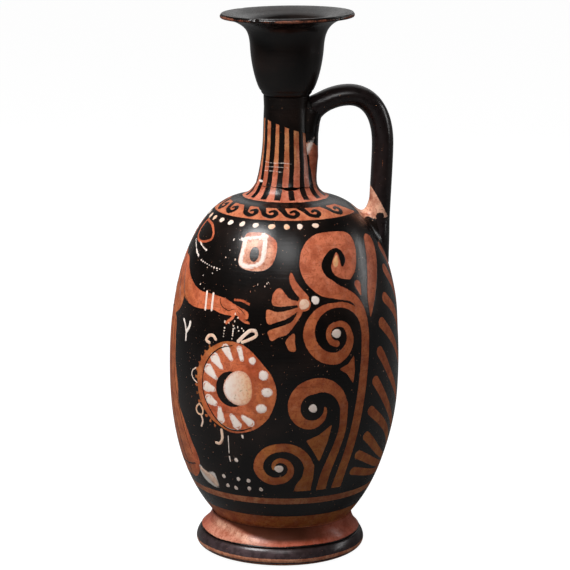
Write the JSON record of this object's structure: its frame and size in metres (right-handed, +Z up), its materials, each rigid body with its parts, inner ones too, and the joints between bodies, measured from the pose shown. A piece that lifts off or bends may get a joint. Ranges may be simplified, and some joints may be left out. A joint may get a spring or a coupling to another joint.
{
  "type": "lekythos",
  "caption": "Tall clay oil jug with an egg-shaped painted body, slim neck, bell mouth with a flaring lip, disc foot and one strap handle from neck to shoulder.",
  "frame": {"origin": "on the wheel axis, on the ground under the foot", "axes": "+Z up along the wheel axis, +Y towards the handle, -Y towards the picture side"},
  "size_m": [0.1224, 0.1224, 0.2885],
  "materials": {
    "black_gloss": "satin black gloss slip with the clay left bare for the pattern",
    "red_slip": "burnished red-orange clay",
    "raw_clay": "matt orange clay",
    "old_fill": "matt cream filler"
  },
  "bodies": {
    "root": {"foot": "red_slip", "foot_slip": "raw_clay", "body": "black_gloss", "neck_bond": "old_fill", "neck": "red_slip", "mouth_slip": "raw_clay", "mouth": "black_gloss", "handle": "black_gloss", "handle_neck_pad": "black_gloss", "handle_shoulder_pad": "raw_clay"}
  },
  "joints": []
}
